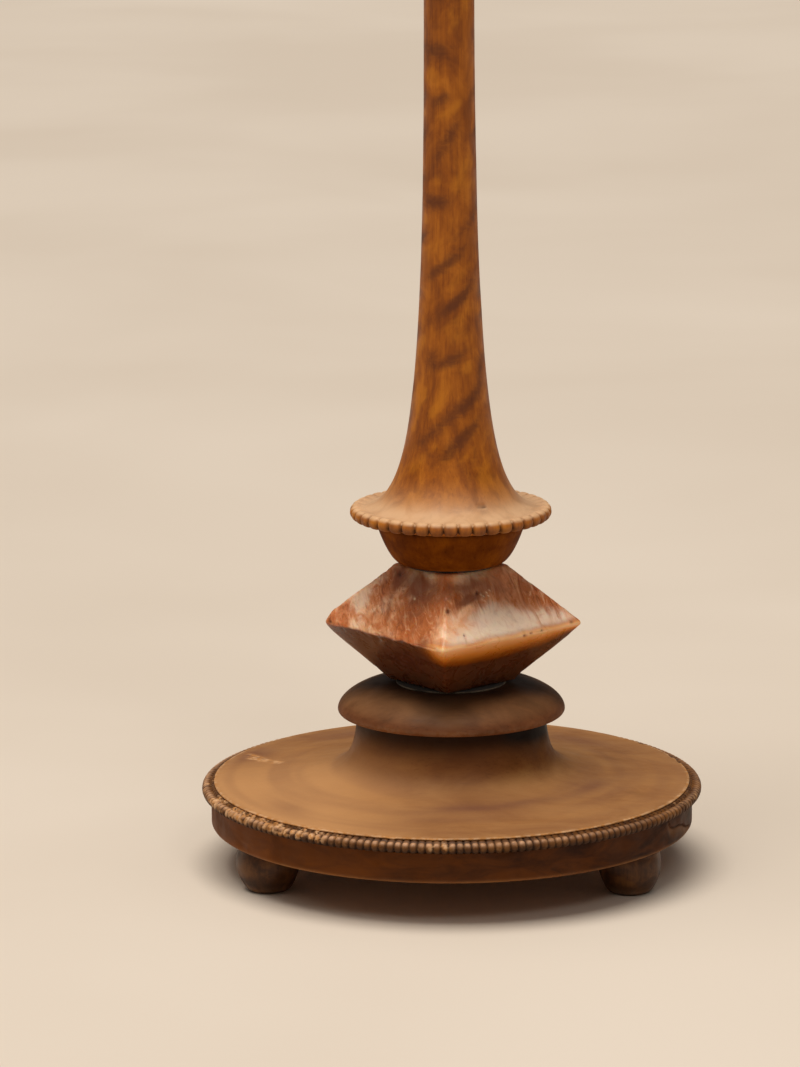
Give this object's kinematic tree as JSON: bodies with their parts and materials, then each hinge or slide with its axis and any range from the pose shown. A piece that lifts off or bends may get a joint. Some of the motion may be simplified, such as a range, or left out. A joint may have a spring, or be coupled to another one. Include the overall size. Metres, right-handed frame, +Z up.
{
  "type": "candlestick",
  "caption": "Tall turned wooden candlestick: round beaded base on bun feet, domed collar, faceted stone block, slim flared shaft, drip pan and socket.",
  "frame": {"origin": "centre of the candlestick on the surface it stands on", "axes": "+Z up the turned axis; -Y towards the front, between the two front feet; +X to the right seen from the front"},
  "size_m": [0.18, 0.18, 0.4127],
  "materials": {
    "base_wood": "worn satin, olive-tan on top and dark red-brown on the side",
    "bead_moulding": "dark, with the crests of the beads rubbed pale",
    "foot_wood": "dark satin",
    "collar_wood": "dull brown satin",
    "seat_felt": "pressed felt",
    "pink_stone": "polished, clouded white with rust veins",
    "bowl_wood": "dark satin",
    "shaft_wood": "satin, with a mottled flame figure",
    "brass": "aged, lightly polished",
    "steel": "plain zinc"
  },
  "bodies": {
    "stick": {"base": "base_wood", "base_bead_moulding": "bead_moulding", "foot_front_left": "foot_wood", "foot_front_right": "foot_wood", "foot_back": "foot_wood", "collar": "collar_wood", "lower_seat_washer": "seat_felt", "stone_block": "pink_stone", "upper_seat_washer": "seat_felt", "bowl": "bowl_wood", "shaft": "shaft_wood", "shaft_insert": "brass", "tie_rod": "steel", "base_washer": "steel", "base_nut": "steel", "drip_pan": "shaft_wood", "candle_socket": "collar_wood"},
    "cup": {"candle_cup": "brass"}
  },
  "joints": [
    {"name": "cup_lift", "type": "slide", "parent": "stick", "child": "cup", "axis": [0, 0, 1], "range_m": [0, 0.024]}
  ]
}
